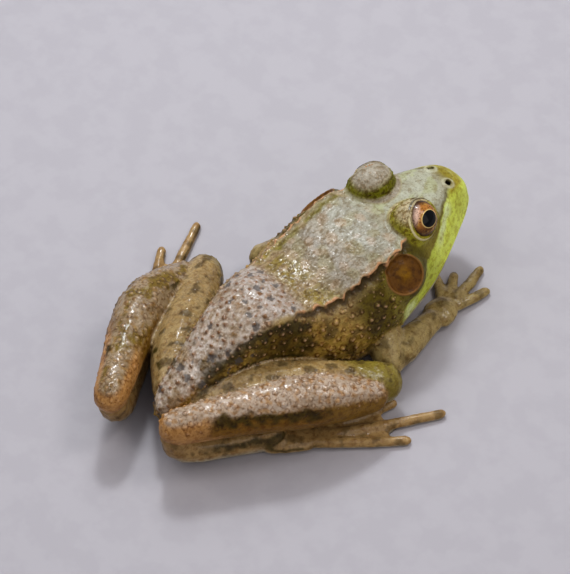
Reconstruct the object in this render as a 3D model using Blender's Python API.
"""Green frog, life size, in a low crouch with its hind legs folded and its chin just off the ground.

The frog faces -Y, its left side is at +X, and it rests on the plane z = 0. Every length below is in
millimetres for a frog that measures 80 mm from snout to vent, and MM scales them all to metres, so
SNOUT_VENT alone sets the size.

The flesh is made of lofts. Head, jaw and trunk are one loft through named stations, parted by thin cuts.
Each limb piece is a loft along its bones, trimmed by the pieces that it lies against.
"""

import math

import bmesh
import bpy
import numpy as np
from mathutils import Vector

SNOUT_VENT = 0.080
MM = SNOUT_VENT / 80
GAP = 0.3  # clearance between two pieces that touch
SIDES = {"left": 1, "right": -1}

# ---------------------------------------------------------------- head, jaw and trunk
# One row a station, from the snout to the vent. y is its place along the body. The other numbers are points
# of the half section there, as x outwards and z up: the crown on the midline, the ridge (canthus of the
# snout, then the fold of the back), the side, the widest line (the upper lip, then the flank), the low line
# (the lower jaw, then the belly's edge), and the keel on the midline.
STATIONS = (
    #   y    crown   ridge         side          widest        low           keel
    (-39.5, 16.0, (0.7, 15.8), (1.0, 15.2), (1.1, 14.4), (0.8, 13.7), 13.5),
    (-39.0, 17.6, (1.9, 17.1), (2.5, 16.0), (2.8, 14.1), (2.3, 12.6), 12.0),
    (-37.7, 19.4, (2.8, 18.9), (3.7, 16.8), (4.2, 13.9), (3.7, 11.9), 10.6),
    (-35.7, 20.8, (3.5, 20.4), (4.8, 17.4), (5.6, 13.6), (5.0, 11.2), 9.4),
    (-33.2, 21.7, (4.0, 21.3), (5.9, 17.8), (6.9, 13.3), (6.3, 10.7), 8.4),
    (-28.0, 22.6, (5.3, 22.2), (8.0, 18.3), (9.7, 12.9), (9.0, 9.8), 7.0),
    (-21.0, 23.2, (8.0, 22.5), (10.9, 18.6), (12.8, 12.5), (12.1, 8.7), 5.2),
    (-13.0, 24.3, (9.7, 23.5), (12.9, 18.9), (14.9, 12.2), (13.9, 7.6), 3.0),
    (-6.5, 24.2, (9.5, 22.5), (13.6, 17.3), (15.8, 11.3), (13.9, 4.8), 0.7),
    (1.0, 22.6, (9.3, 20.6), (12.6, 16.3), (14.6, 10.0), (12.6, 3.2), -0.6),
    (8.0, 22.8, (8.8, 20.7), (10.6, 16.6), (11.9, 9.6), (10.4, 2.8), -0.5),
    (15.0, 25.3, (7.4, 23.2), (8.2, 17.6), (8.6, 10.5), (7.6, 2.8), -0.5),
    (23.0, 22.6, (5.8, 20.6), (6.6, 15.8), (6.5, 9.8), (5.6, 3.0), -0.3),
    (31.0, 17.6, (4.3, 16.0), (4.9, 12.6), (4.8, 8.8), (4.1, 4.2), 2.0),
    (37.0, 14.0, (2.7, 13.2), (3.2, 11.2), (3.1, 9.0), (2.5, 6.4), 5.2),
    (40.0, 11.2, (1.0, 11.0), (1.2, 10.2), (1.2, 9.4), (1.0, 8.6), 8.3),
)
RINGS_A_STATION = 2
POINTS_A_STRETCH = 2

# ---------------------------------------------------------------- eyes and ears
EYE = (6.1, -22.0, 23.4)
EYE_RADIUS = 3.85
EYE_DEPTH = 4.2  # from the eye's middle to the front of its cornea
GAZE = (0.86, -0.21, 0.47)
LID = (6.3, -21.45, 23.1)
LID_RADII = (4.4, 5.1, 4.5)
LID_OPENING = (3.75, 3.3)  # half its length along the head, half its height

EAR = (12.3, -13.2, 18.4)
EAR_FACING = (0.85, -0.11, 0.51)
EAR_RADIUS = 3.95
EAR_THICKNESS = 1.5

# ---------------------------------------------------------------- cuts that part head, jaw and trunk
NECK_Y = -7.6
NECK_LEAN = math.radians(5)
MOUTH_LINE = ((-46.0, 13.9), (-40.0, 13.4), (-33.0, 12.9), (-24.0, 12.2), (-16.0, 11.5), (-11.5, 10.4))
MOUTH_CORNER_TO_NECK = ((-5.0, 8.4),)

# ---------------------------------------------------------------- limbs
# A limb piece's path holds its bones' points. Its girths are rows of: share of the path's length, half
# width across, half height.
HIND_LEG = {
    "right": {
        "hip": (4.0, 31.5, 10.0),
        "knee": (21.9, 1.9, 6.5),
        "calf": (17.6, 17.5, 10.5),
        "heel": (6.2, 40.4, 11.6),
        "ankle": (5.2, 41.6, 3.2),
        "foot": (15.4, 24.2, 2.7),
    },
    "left": {
        "hip": (3.4, 33.8, 10.0),
        "knee": (22.9, 9.2, 5.4),
        "calf": (22.0, 24.0, 10.0),
        "heel": (8.4, 44.9, 12.0),
        "ankle": (8.8, 44.0, 3.2),
        "foot": (19.0, 27.8, 2.7),
    },
}
THIGH_GIRTHS = ((0.0, 3.8, 4.6), (0.2, 5.5, 6.5), (0.45, 6.0, 6.8), (0.75, 5.0, 5.6), (1.0, 4.0, 4.4))
SHANK_GIRTHS = ((0.0, 3.4, 3.8), (0.17, 4.7, 5.0), (0.36, 5.2, 5.5), (0.65, 4.3, 4.6), (1.0, 3.3, 3.7))
TARSUS_GIRTHS = ((0.0, 2.9, 2.9), (0.25, 3.0, 2.9), (0.5, 2.6, 2.3), (0.8, 2.7, 2.0), (1.0, 3.0, 1.8))
SHANK_START = (1.4, 4.2, 1.0)  # from the thigh's end of the knee to the shank's

# Toes, from the innermost: length, and heading in degrees outwards from the foot's own line.
TOES = ((12.5, -30.0), (17.5, -18.5), (24.0, -7.0), (32.5, 3.5), (25.0, 15.0))
TOE_BEND = -7.0  # degrees that a toe turns inwards from its root to its tip
TOE_RADII = (1.3, 0.85)
WEB_REACH = (0.97, 0.96, 0.95, 0.76, 0.96)  # how far along each toe its web reaches
WEB_SCALLOP = 0.13  # how deep the web's free edge is drawn in
WEB_THICKNESS = 0.7

FORE_LEG = {
    "right": {"shoulder": (11.2, -7.2, 7.8), "elbow": (18.0, -4.2, 4.9), "wrist": (14.9, -18.2, 2.5), "hand": 14.0},
    "left": {"shoulder": (11.2, -7.2, 7.8), "elbow": (18.4, -3.2, 4.9), "wrist": (16.0, -17.4, 2.5), "hand": 6.0},
}
UPPER_ARM_GIRTHS = ((0.0, 4.4, 4.6), (0.5, 3.8, 4.0), (1.0, 3.0, 3.1))
FOREARM_GIRTHS = ((0.0, 2.9, 3.0), (0.3, 3.2, 3.1), (0.7, 2.6, 2.4), (1.0, 2.2, 1.9))
# Fingers, from the innermost: length, and heading in degrees outwards from the hand's own line.
FINGERS = ((10.0, -38.0), (9.5, -15.0), (13.0, 6.0), (10.0, 30.0))
FINGER_BEND = -10.0
FINGER_RADII = (1.35, 0.85)
PALM_RADII = (3.3, 3.8, 1.9)
SOLE_DIP = 0.15  # how far toes and fingers reach below the ground before it cuts them flat

COLOURS = {
    "skin_back": ((0.28, 0.27, 0.12), 0.45),
    "skin_limb": ((0.33, 0.25, 0.13), 0.45),
    "skin_throat": ((0.62, 0.60, 0.47), 0.5),
    "eye": ((0.30, 0.16, 0.04), 0.1),
    "eardrum": ((0.20, 0.11, 0.04), 0.5),
}


# ---------------------------------------------------------------- small tools
def clear_scene():
    for obj in list(bpy.data.objects):
        bpy.data.objects.remove(obj)


def finish_of(name):
    """The material of this name, made once."""
    found = bpy.data.materials.get(name)
    if found:
        return found
    colour, roughness = COLOURS[name]
    made = bpy.data.materials.new(name)
    made.use_nodes = True
    shader = made.node_tree.nodes["Principled BSDF"]
    shader.inputs["Base Color"].default_value = (*colour, 1.0)
    shader.inputs["Roughness"].default_value = roughness
    return made


def object_of(name, bm):
    """An object that holds the bmesh, scaled from millimetres of an 80 mm frog, with its faces pointing out."""
    bmesh.ops.recalc_face_normals(bm, faces=bm.faces)
    mesh = bpy.data.meshes.new(name)
    bm.to_mesh(mesh)
    bm.free()
    mesh.transform(((MM, 0, 0, 0), (0, MM, 0, 0), (0, 0, MM, 0), (0, 0, 0, 1)))
    obj = bpy.data.objects.new(name, mesh)
    bpy.context.scene.collection.objects.link(obj)
    return obj


def through(knots, values, at):
    """A smooth curve through the values at the knots, read at the places in at."""
    knots, values, at = (np.asarray(a, float) for a in (knots, values, at))
    values = values.reshape(len(knots), -1)
    slopes = np.gradient(values, knots, axis=0)
    i = np.clip(np.searchsorted(knots, at, side="right") - 1, 0, len(knots) - 2)
    step = (knots[i + 1] - knots[i])[:, None]
    t = (at - knots[i])[:, None] / step
    return (
        (2 * t**3 - 3 * t**2 + 1) * values[i]
        + (t**3 - 2 * t**2 + t) * step * slopes[i]
        + (3 * t**2 - 2 * t**3) * values[i + 1]
        + (t**3 - t**2) * step * slopes[i + 1]
    )


def along(points):
    """Each point's distance along the line through the points."""
    steps = np.linalg.norm(np.diff(np.asarray(points, float), axis=0), axis=1)
    return np.concatenate([[0.0], np.cumsum(steps)])


def loft(name, rings, start, end):
    """A closed body through rings of equally many points, drawn to the points start and end."""
    bm = bmesh.new()
    rows = [[bm.verts.new(p) for p in ring] for ring in rings]
    for near, far in zip(rows, rows[1:]):
        for k in range(len(near)):
            bm.faces.new((near[k - 1], near[k], far[k], far[k - 1]))
    for row, pole in ((rows[0], bm.verts.new(start)), (rows[-1], bm.verts.new(end))):
        for k in range(len(row)):
            bm.faces.new((row[k - 1], row[k], pole))
    return object_of(name, bm)


def ball(name, centre, radii, turn=None, segments=20):
    """A sphere stretched to the radii, then turned by a rotation, at the centre."""
    bm = bmesh.new()
    bmesh.ops.create_uvsphere(bm, u_segments=segments, v_segments=segments // 2, radius=1.0)
    bmesh.ops.scale(bm, vec=radii, verts=bm.verts)
    if turn is not None:
        bmesh.ops.rotate(bm, matrix=turn.to_matrix(), verts=bm.verts)
    bmesh.ops.translate(bm, vec=centre, verts=bm.verts)
    return object_of(name, bm)


def disc(name, centre, facing, radii, depth, segments=28):
    """An elliptic cylinder whose middle is at the centre and whose ends face along facing and away from it."""
    bm = bmesh.new()
    bmesh.ops.create_cone(
        bm, cap_ends=True, segments=segments, radius1=1.0, radius2=1.0, depth=1.0
    )
    bmesh.ops.scale(bm, vec=(*radii, depth), verts=bm.verts)
    turn = Vector(facing).to_track_quat("Z", "Y")
    bmesh.ops.rotate(bm, matrix=turn.to_matrix(), verts=bm.verts)
    bmesh.ops.translate(bm, vec=centre, verts=bm.verts)
    return object_of(name, bm)


def slab(name, outline, half_width):
    """A body with this outline in the YZ plane, reaching half_width to each side."""
    bm = bmesh.new()
    face = bm.faces.new([bm.verts.new((-half_width, y, z)) for y, z in outline])
    grown = bmesh.ops.extrude_face_region(bm, geom=[face])["geom"]
    moved = [v for v in grown if isinstance(v, bmesh.types.BMVert)]
    bmesh.ops.translate(bm, vec=(2 * half_width, 0, 0), verts=moved)
    return object_of(name, bm)


def combine(obj, other, operation):
    """Runs a Boolean of obj with other, and removes other."""
    modifier = obj.modifiers.new(operation.lower(), "BOOLEAN")
    modifier.object = other
    modifier.operation = operation
    modifier.solver = "EXACT"
    graph = bpy.context.evaluated_depsgraph_get()
    result = bpy.data.meshes.new_from_object(obj.evaluated_get(graph))
    obj.modifiers.clear()
    obj.data = result
    bpy.data.objects.remove(other)
    return obj


def grown(obj, by):
    """A copy of obj with its surface pushed out by this many millimetres."""
    copy = bpy.data.objects.new(obj.name + "_grown", obj.data.copy())
    bpy.context.scene.collection.objects.link(copy)
    count = len(copy.data.vertices)
    places = np.empty(count * 3)
    normals = np.empty(count * 3)
    copy.data.vertices.foreach_get("co", places)
    copy.data.vertices.foreach_get("normal", normals)
    copy.data.vertices.foreach_set("co", places + by * MM * normals)
    return copy


def bodies_of(obj):
    """Splits obj into its separate bodies, largest first, as new objects. obj is removed."""
    bm = bmesh.new()
    bm.from_mesh(obj.data)
    bmesh.ops.remove_doubles(bm, verts=bm.verts, dist=0.002 * MM)
    # Merging can press a sliver flat, into two faces with the same corners. Both go.
    same = {}
    for face in bm.faces:
        same.setdefault(frozenset(face.verts), []).append(face)
    pressed = [face for faces in same.values() if len(faces) > 1 for face in faces]
    bmesh.ops.delete(bm, geom=pressed, context="FACES_ONLY")
    seen = set()
    found = []
    for first in bm.verts:
        if first in seen:
            continue
        island, stack = set(), [first]
        while stack:
            vert = stack.pop()
            if vert not in island:
                island.add(vert)
                stack.extend(edge.other_vert(vert) for edge in vert.link_edges)
        seen |= island
        found.append(island)
    pieces = []
    for island in sorted(found, key=len, reverse=True):
        piece = bmesh.new()
        copies = {v: piece.verts.new(v.co) for v in sorted(island, key=lambda v: v.index)}
        for face in bm.faces:
            if face.verts[0] in island:
                piece.faces.new([copies[v] for v in face.verts])
        mesh = bpy.data.meshes.new(obj.name)
        piece.to_mesh(mesh)
        piece.free()
        made = bpy.data.objects.new(obj.name, mesh)
        bpy.context.scene.collection.objects.link(made)
        pieces.append(made)
    bm.free()
    bpy.data.objects.remove(obj)
    return pieces


def largest(obj):
    """obj's largest body, under obj's name. Slivers that trimming left are removed."""
    name = obj.name
    first, *rest = bodies_of(obj)
    for sliver in rest:
        bpy.data.objects.remove(sliver)
    first.name = name
    return first


def ground_cut(obj):
    """Takes away what lies below the ground, so that obj rests on a flat."""
    deep, wide = 10.0, 80.0
    outline = ((-wide, -deep), (wide, -deep), (wide, 0.0), (-wide, 0.0))
    return combine(obj, slab("ground", outline, wide), "DIFFERENCE")


# ---------------------------------------------------------------- the body
def section(crown, ridge, side, widest, low, keel):
    """The closed loop of one station, as (x, z) points, with points between those that the station names."""
    shelf = (0.55 * ridge[0], crown - 0.22 * (crown - ridge[1]))
    belly = (0.58 * low[0], keel + 0.16 * (low[1] - keel))
    half = [(0, crown), shelf, ridge, side, widest, low, belly, (0, keel)]
    loop = np.array(half + [(-x, z) for x, z in half[-2:0:-1]])
    wrapped = np.vstack([loop[-2:], loop, loop[:3]])
    knots = along(wrapped)
    first, last = 2, 2 + len(loop)
    at = np.concatenate(
        [
            np.linspace(knots[k], knots[k + 1], POINTS_A_STRETCH, endpoint=False)
            for k in range(first, last)
        ]
    )
    return through(knots, wrapped, at)


def body_form():
    """Head, jaw and trunk as one closed loft."""
    rows = np.array([[y, c, *r, *s, *w, *lo, k] for y, c, r, s, w, lo, k in STATIONS])
    knots = np.arange(len(rows), dtype=float)
    at = np.linspace(0, len(rows) - 1, (len(rows) - 1) * RINGS_A_STATION + 1)
    rings = []
    for y, crown, rx, rz, sx, sz, wx, wz, lx, lz, keel in through(knots, rows, at):
        loop = section(crown, (rx, rz), (sx, sz), (wx, wz), (lx, lz), keel)
        rings.append([(x, y, z) for x, z in loop])
    middle = [np.mean(ring, axis=0) for ring in (rings[0], rings[-1])]
    nose = (0.0, rings[0][0][1] - 0.15, middle[0][2])
    vent = (0.0, rings[-1][0][1] + 0.5, middle[1][2])
    return loft("body", rings, nose, vent)


def mirrored(point, side):
    return (SIDES[side] * point[0], point[1], point[2])


def eye_and_socket(body, side):
    """Raises the lid over one eye, opens it, and returns the body and the eyeball."""
    centre = mirrored(EYE, side)
    gaze = Vector(mirrored(GAZE, side)).normalized()
    turn = gaze.to_track_quat("Z", "Y")
    body = combine(body, ball("lid", mirrored(LID, side), LID_RADII, segments=18), "UNION")
    room = [r + GAP for r in (EYE_RADIUS, EYE_RADIUS, EYE_DEPTH)]
    body = combine(body, ball("socket", centre, room, turn, segments=16), "DIFFERENCE")
    reach = 12.0
    middle = Vector(centre) + gaze * (reach / 2 + 1.2)
    body = combine(body, disc("opening", middle, gaze, LID_OPENING, reach, 18), "DIFFERENCE")
    eyeball = ball(f"eye_{side}", centre, (EYE_RADIUS, EYE_RADIUS, EYE_DEPTH), turn, segments=16)
    eyeball.data.materials.append(finish_of("eye"))
    return body, eyeball


def ear_and_recess(body, side):
    """Sinks a round recess behind one eye, and returns the body and the eardrum that fills it."""
    centre = Vector(mirrored(EAR, side))
    facing = Vector(mirrored(EAR_FACING, side)).normalized()
    recess = disc("recess", centre + facing, facing, (EAR_RADIUS + GAP,) * 2, EAR_THICKNESS + 2, 18)
    body = combine(body, recess, "DIFFERENCE")
    seat = centre + facing * GAP
    drum = disc(f"eardrum_{side}", seat, facing, (EAR_RADIUS,) * 2, EAR_THICKNESS, 18)
    bevel = drum.modifiers.new("edge", "BEVEL")
    bevel.width = 0.35 * MM
    bevel.segments = 1
    bevel.limit_method = "ANGLE"
    drum.data.materials.append(finish_of("eardrum"))
    return body, drum


def part_body(body):
    """Parts the body with two thin cuts, at the neck and along the mouth, into trunk, head and lower jaw."""
    lean = math.tan(NECK_LEAN)
    top, bottom = 40.0, -10.0
    neck = [
        (NECK_Y + (12 - z) * lean + dy, z)
        for z, dy in ((bottom, 0), (top, 0), (top, GAP), (bottom, GAP))
    ]
    line = MOUTH_LINE + MOUTH_CORNER_TO_NECK
    under = [(y, z - GAP) for y, z in line]
    body = combine(body, slab("neck_cut", neck, 30.0), "DIFFERENCE")
    body = combine(body, slab("mouth_cut", list(line) + under[::-1], 30.0), "DIFFERENCE")
    pieces = bodies_of(body)
    for sliver in pieces[3:]:
        bpy.data.objects.remove(sliver)
    pieces = pieces[:3]

    def middle(obj):
        places = np.array([v.co for v in obj.data.vertices])
        return places.mean(axis=0) / MM

    trunk = max(pieces, key=lambda o: middle(o)[1])
    head, jaw = sorted((o for o in pieces if o is not trunk), key=lambda o: -middle(o)[2])
    for obj, name, finish in (
        (trunk, "trunk", "skin_back"),
        (head, "head", "skin_back"),
        (jaw, "lower_jaw", "skin_throat"),
    ):
        obj.name = name
        obj.data.materials.append(finish_of(finish))
    return head, jaw, trunk


# ---------------------------------------------------------------- the limbs
def limb_form(name, path, girths, rings, around, upright=(0, 0, 1), ends=(35, 65)):
    """A closed loft along the smooth line through the path's points, as thick as the girths say. A girth's
    height lies along upright and its width across that, both square to the path. Each end is rounded by
    rings at the given angles of a quarter turn."""
    path = np.array(path, float)
    length = along(path)
    shares = np.linspace(0, 1, rings)
    middles = through(length, path, shares * length[-1])
    sizes = through([g[0] for g in girths], [g[1:] for g in girths], shares)
    headings = np.gradient(middles, axis=0)
    headings /= np.linalg.norm(headings, axis=1)[:, None]
    stops = [(m, h, s, 1.0) for m, h, s in zip(middles, headings, sizes)]
    caps = []
    for end, sign in ((0, -1), (-1, 1)):
        middle, heading, size = middles[end], headings[end], sizes[end]
        bulge = float(size.mean())
        cap = [
            (middle + sign * bulge * math.sin(a) * heading, heading, size, math.cos(a))
            for a in np.radians(ends)
        ]
        caps.append((cap, middle + sign * bulge * heading))
    stops = caps[0][0][::-1] + stops + caps[1][0]
    loops = []
    for middle, heading, (wide, high), scale in stops:
        across = np.cross(heading, upright)
        across /= np.linalg.norm(across)
        over = np.cross(across, heading)
        turns = 2 * math.pi * np.arange(around) / around
        loops.append(
            middle
            + scale * wide * np.cos(turns)[:, None] * across
            + scale * high * np.sin(turns)[:, None] * over
        )
    return loft(name, loops, caps[0][1], caps[1][1])


def heading_of(start, end):
    """The level heading from start to end."""
    step = Vector(end) - Vector(start)
    return math.atan2(step.y, step.x)


def digit_paths(root, heading, digits, bend, radii, side):
    """Each digit's path, from the root outwards, lying on the ground."""
    paths = []
    for length, turn in digits:
        place = np.array([root[0], root[1], radii[1] - SOLE_DIP])
        path = [place + (0, 0, 0.5)]
        # The knuckles stand a little higher than the tip.
        for step, lift in enumerate((0.55, 0.25, 0.0)):
            # Outwards is clockwise, seen from above, for the frog's right, and the other way for its left.
            angle = heading + SIDES[side] * math.radians(turn + bend * step / 2)
            place = place + length / 3 * np.array([math.cos(angle), math.sin(angle), 0.0])
            path.append(place + (0, 0, lift))
        paths.append(path)
    return paths


def digit_form(name, path, radii):
    """One toe or finger: slimmer towards its tip, with a knuckle and a blunt end."""
    base, tip = radii
    girths = ((0.0, base, base), (0.3, 0.86 * base, 0.82 * base), (0.48, 0.92 * base, 0.86 * base))
    girths += ((0.75, 1.05 * tip, tip), (1.0, tip, tip))
    return limb_form(name, path, girths, 4, 6, ends=(50,))


def web_form(name, paths, reach):
    """The skin between neighbouring digits: a thin plate whose free edge is drawn in between them."""
    bm = bmesh.new()
    steps, spans = 4, 3
    top, bottom = [], []
    for store, z in ((bottom, 0.3), (top, 0.3 + WEB_THICKNESS)):
        columns = []
        for k in range(len(paths) - 1):
            for s in range(spans + (k == len(paths) - 2)):
                share = s / spans
                # Drawn in most at the middle between two digits.
                draw = 1 - WEB_SCALLOP * math.sin(math.pi * share)
                ends = []
                for path, far in ((paths[k], reach[k]), (paths[k + 1], reach[k + 1])):
                    length = along(path)
                    at = np.linspace(0.02, far * draw, steps) * length[-1]
                    ends.append(through(length, path, at))
                column = ends[0] * (1 - share) + ends[1] * share
                columns.append([bm.verts.new((x, y, z)) for x, y, _ in column])
        store.extend(columns)
    rim = top[0] + [c[-1] for c in top[1:-1]] + top[-1][::-1] + [c[0] for c in top[-2:0:-1]]
    foot = bottom[0] + [c[-1] for c in bottom[1:-1]] + bottom[-1][::-1] + [c[0] for c in bottom[-2:0:-1]]
    for grid in (top, bottom):
        for near, far in zip(grid, grid[1:]):
            for i in range(steps - 1):
                bm.faces.new((near[i], near[i + 1], far[i + 1], far[i]))
    for i in range(len(rim)):
        bm.faces.new((rim[i - 1], rim[i], foot[i], foot[i - 1]))
    return object_of(name, bm)


def foot_form(side):
    """The metatarsus, five toes and the web between them."""
    leg = HIND_LEG[side]
    root = mirrored(leg["foot"], side)
    heading = heading_of(mirrored(leg["ankle"], side), root)
    ahead = np.array([math.cos(heading), math.sin(heading), 0.0])
    paths = digit_paths(np.array(root) + 1.0 * ahead, heading, TOES, TOE_BEND, TOE_RADII, side)
    sole = [np.array(root) + (0, 0, -1.3) - 0.5 * ahead, np.array(root) + (0, 0, -1.5) + 6.5 * ahead]
    foot = limb_form(f"foot_{side}", sole, ((0, 2.8, 1.5), (0.5, 3.2, 1.5), (1, 3.3, 1.3)), 4, 12)
    for k, path in enumerate(paths):
        foot = combine(foot, digit_form(f"toe_{k}", path, TOE_RADII), "UNION")
    foot = combine(foot, web_form("web", paths, WEB_REACH), "UNION")
    return ground_cut(foot)


def hand_form(side):
    """The palm and four fingers."""
    arm = FORE_LEG[side]
    wrist = mirrored(arm["wrist"], side)
    # The hand turns in towards the midline by this many degrees from straight ahead.
    heading = math.radians(-90) - SIDES[side] * math.radians(arm["hand"])
    ahead = np.array([math.cos(heading), math.sin(heading), 0.0])
    palm_at = np.array([wrist[0], wrist[1], 0.0]) + 3.0 * ahead + (0, 0, PALM_RADII[2] - SOLE_DIP)
    turn = Vector((*ahead[:2], 0.0)).to_track_quat("Y", "Z")
    hand = ball(f"hand_{side}", palm_at, PALM_RADII, turn, segments=12)
    root = palm_at + 1.2 * ahead
    paths = digit_paths(root, heading, FINGERS, FINGER_BEND, FINGER_RADII, side)
    for k, path in enumerate(paths):
        hand = combine(hand, digit_form(f"finger_{k}", path, FINGER_RADII), "UNION")
    return ground_cut(hand)


def hind_leg_forms(side):
    hip, knee, calf, heel, ankle, foot = (
        Vector(mirrored(HIND_LEG[side][k], side))
        for k in ("hip", "knee", "calf", "heel", "ankle", "foot")
    )
    shank_start = knee + Vector(mirrored(SHANK_START, side))
    # The tarsus starts inside the heel, drops, and turns forwards along the ground in a rounded corner.
    over = heel.lerp(ankle, 0.3)
    along_ground = ankle.lerp(foot, 0.45)
    turn = [over.lerp(ankle, t).lerp(ankle.lerp(along_ground, t), t) for t in (0.0, 0.3, 0.6, 1.0)]
    level = Vector((foot.y - ankle.y, ankle.x - foot.x, 0.0))
    return [
        limb_form(f"thigh_{side}", (hip, knee), THIGH_GIRTHS, 8, 12),
        limb_form(f"shank_{side}", (shank_start, calf, heel), SHANK_GIRTHS, 8, 12),
        ground_cut(limb_form(f"tarsus_{side}", (*turn, foot), TARSUS_GIRTHS, 9, 10, level)),
        foot_form(side),
    ]


def fore_leg_forms(side):
    arm = FORE_LEG[side]
    shoulder, elbow, wrist = (mirrored(arm[k], side) for k in ("shoulder", "elbow", "wrist"))
    return [
        limb_form(f"upper_arm_{side}", (shoulder, elbow), UPPER_ARM_GIRTHS, 4, 12),
        limb_form(f"forearm_{side}", (elbow, wrist), FOREARM_GIRTHS, 5, 12),
        hand_form(side),
    ]


def touch(a, b):
    """Whether the boxes round two objects meet."""
    boxes = [np.array([v.co for v in o.data.vertices]) for o in (a, b)]
    return bool(
        (boxes[0].min(0) < boxes[1].max(0)).all() and (boxes[1].min(0) < boxes[0].max(0)).all()
    )


def trim_in_turn(forms, wholes):
    """Trims each form by the whole shapes of those before it, grown by the clearance."""
    trimmed = []
    for form in forms:
        whole = bpy.data.objects.new(form.name + "_whole", form.data.copy())
        bpy.context.scene.collection.objects.link(whole)
        for earlier in wholes:
            cutter = grown(earlier, GAP)
            if touch(form, cutter):
                form = combine(form, cutter, "DIFFERENCE")
            else:
                bpy.data.objects.remove(cutter)
        form = largest(form)
        form.data.materials.clear()
        form.data.materials.append(finish_of("skin_limb"))
        wholes.append(whole)
        trimmed.append(form)
    return trimmed


def shade(obj):
    obj.data.shade_smooth()
    obj.data.set_sharp_from_angle(angle=math.radians(40))


def main():
    clear_scene()
    plain_body = body_form()
    whole_body = bpy.data.objects.new("body_whole", plain_body.data.copy())
    bpy.context.scene.collection.objects.link(whole_body)

    body = plain_body
    nodes = []
    for side in SIDES:
        body, eyeball = eye_and_socket(body, side)
        nodes.append(eyeball)
    for side in SIDES:
        body, drum = ear_and_recess(body, side)
        nodes.append(drum)
    nodes += part_body(ground_cut(body))

    forms = []
    for side in SIDES:
        forms += hind_leg_forms(side)
    for side in SIDES:
        forms += fore_leg_forms(side)
    wholes = [whole_body]
    nodes += trim_in_turn(forms, wholes)
    for whole in wholes:
        bpy.data.objects.remove(whole)
    for node in nodes:
        shade(node)


main()
